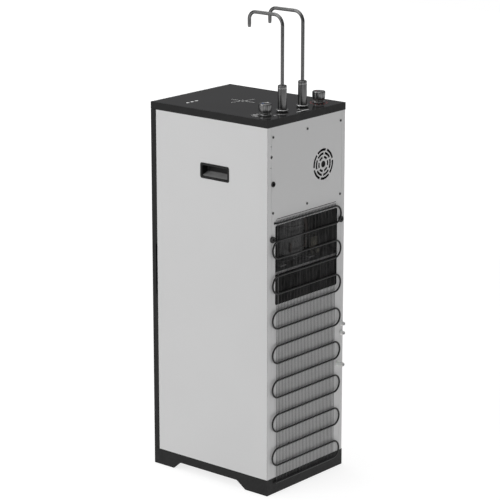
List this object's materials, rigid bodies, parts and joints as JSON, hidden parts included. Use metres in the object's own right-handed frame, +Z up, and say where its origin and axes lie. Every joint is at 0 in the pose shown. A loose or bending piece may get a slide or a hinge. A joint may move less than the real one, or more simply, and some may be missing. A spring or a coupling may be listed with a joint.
{
  "type": "floor-standing water dispenser",
  "caption": "Tall floor-standing hot and cold water dispenser cabinet with swivelling spouts and knobs on top, wire condenser and service window behind, and a front door.",
  "frame": {"origin": "on the floor, under the centre of the overall width and depth, rear fittings included", "axes": "+Z up; -Y out of the door; +Y out of the back, towards the condenser; +X to the side with the power cord inlet"},
  "size_m": [0.3204, 0.4166, 1.2507],
  "materials": {
    "black_plastic": "fine-textured black moulded plastic",
    "rubber_black": "black rubber",
    "panel_paint": "light grey satin powder coat",
    "inner_steel": "zinc-coated sheet steel",
    "screw_steel": "darkened zinc screws",
    "black_glass": "black back-printed tempered glass",
    "condenser_paint": "glossy black enamel on steel tube",
    "compressor_paint": "semi-gloss black enamel",
    "copper": "drawn copper tube, lightly oxidised",
    "stainless": "brushed stainless steel",
    "foam": "cream insulating foam",
    "white_plastic": "white food-grade plastic",
    "collet_plastic": "grey acetal",
    "tank_paint": "dark enamelled steel",
    "magnet": "ferrite magnet in a plastic holder",
    "chrome": "polished chrome plating",
    "valve_brass": "machined brass, nickel flashed",
    "hose_silicone": "translucent white silicone hose"
  },
  "bodies": {
    "cabinet": {"plinth": "black_plastic", "foot_pads": "rubber_black", "base_pan": "inner_steel", "side_panel_right": "panel_paint", "side_panel_left": "panel_paint", "handle_cup_right": "black_plastic", "handle_cup_left": "black_plastic", "rear_cover": "panel_paint", "cover_screws": "screw_steel", "rear_panel": "panel_paint", "front_frame": "inner_steel", "mid_shelf": "inner_steel", "shelf_post": "inner_steel", "top_frame": "black_plastic", "top_glass": "black_glass", "hinge_pins": "screw_steel", "magnet_catch": "magnet", "condenser_tube": "condenser_paint", "condenser_wires": "condenser_paint", "condenser_clips": "rubber_black", "compressor_shell": "compressor_paint", "compressor_base": "inner_steel", "compressor_mounts": "rubber_black", "terminal_cover": "black_plastic", "discharge_pipe": "copper", "filter_drier": "copper", "cold_tank": "stainless", "evaporator_coil": "copper", "tank_insulation": "foam", "hot_tank": "stainless", "heater": "stainless", "fan_frame": "black_plastic", "control_box": "white_plastic", "cord_bushing": "black_plastic", "filter_manifold": "white_plastic", "booster_pump": "compressor_paint", "storage_tank": "tank_paint", "inlet_fitting": "white_plastic", "service_fittings": "white_plastic", "tap_bodies": "chrome", "tap_rings": "chrome", "tap_nuts": "valve_brass", "spout_seals": "rubber_black", "knob_valves": "valve_brass", "knob_rings": "chrome", "water_valve": "valve_brass", "tank_hoses": "hose_silicone"},
    "door": {"door_frame": "black_plastic", "door_glass": "black_glass"},
    "cold_spout": {"spout_cold": "chrome"},
    "hot_spout": {"spout_hot": "chrome"},
    "cold_knob": {"knob_cold": "chrome"},
    "hot_knob": {"knob_hot": "chrome"},
    "fan": {"fan_rotor": "black_plastic"},
    "inlet_collet": {"collet_inlet": "collet_plastic"},
    "drain_collet": {"collet_drain": "collet_plastic"},
    "tank_collet": {"collet_tank": "collet_plastic"},
    "filter_1": {"filter_cartridge_1": "white_plastic"},
    "filter_2": {"filter_cartridge_2": "white_plastic"},
    "filter_3": {"filter_cartridge_3": "white_plastic"}
  },
  "joints": [
    {"name": "door_hinge", "type": "hinge", "parent": "cabinet", "child": "door", "pos_m": [-0.15, -0.19925, 0.5], "axis": [0, 0, -1], "range_deg": [0, 110]},
    {"name": "cold_spout_swivel", "type": "hinge", "parent": "cabinet", "child": "cold_spout", "pos_m": [0.041, 0.13775, 1.04], "axis": [0, 0, 1], "range_deg": [-35, 90]},
    {"name": "hot_spout_swivel", "type": "hinge", "parent": "cabinet", "child": "hot_spout", "pos_m": [-0.041, 0.13775, 1.04], "axis": [0, 0, 1], "range_deg": [-90, 35]},
    {"name": "cold_knob_turn", "type": "hinge", "parent": "cabinet", "child": "cold_knob", "pos_m": [0.109, 0.13775, 1.01], "axis": [0, 0, 1], "range_deg": [0, 90]},
    {"name": "hot_knob_turn", "type": "hinge", "parent": "cabinet", "child": "hot_knob", "pos_m": [-0.109, 0.13775, 1.01], "axis": [0, 0, 1], "range_deg": [-90, 0]},
    {"name": "fan_spin", "type": "hinge", "parent": "cabinet", "child": "fan", "pos_m": [-0.067, 0.17375, 0.851], "axis": [0, 1, 0], "continuous": true},
    {"name": "inlet_collet_push", "type": "slide", "parent": "cabinet", "child": "inlet_collet", "axis": [0, 1, 0], "range_m": [-0.0015, 0]},
    {"name": "drain_collet_push", "type": "slide", "parent": "cabinet", "child": "drain_collet", "axis": [0, 1, 0], "range_m": [-0.0015, 0]},
    {"name": "tank_collet_push", "type": "slide", "parent": "cabinet", "child": "tank_collet", "axis": [0, 1, 0], "range_m": [-0.0015, 0]},
    {"name": "filter_1_twist", "type": "hinge", "parent": "cabinet", "child": "filter_1", "pos_m": [-0.078, -0.12825, 0.43], "axis": [0, 0, 1], "range_deg": [0, 90]},
    {"name": "filter_2_twist", "type": "hinge", "parent": "cabinet", "child": "filter_2", "pos_m": [0, -0.12825, 0.43], "axis": [0, 0, 1], "range_deg": [0, 90]},
    {"name": "filter_3_twist", "type": "hinge", "parent": "cabinet", "child": "filter_3", "pos_m": [0.078, -0.12825, 0.43], "axis": [0, 0, 1], "range_deg": [0, 90]}
  ]
}
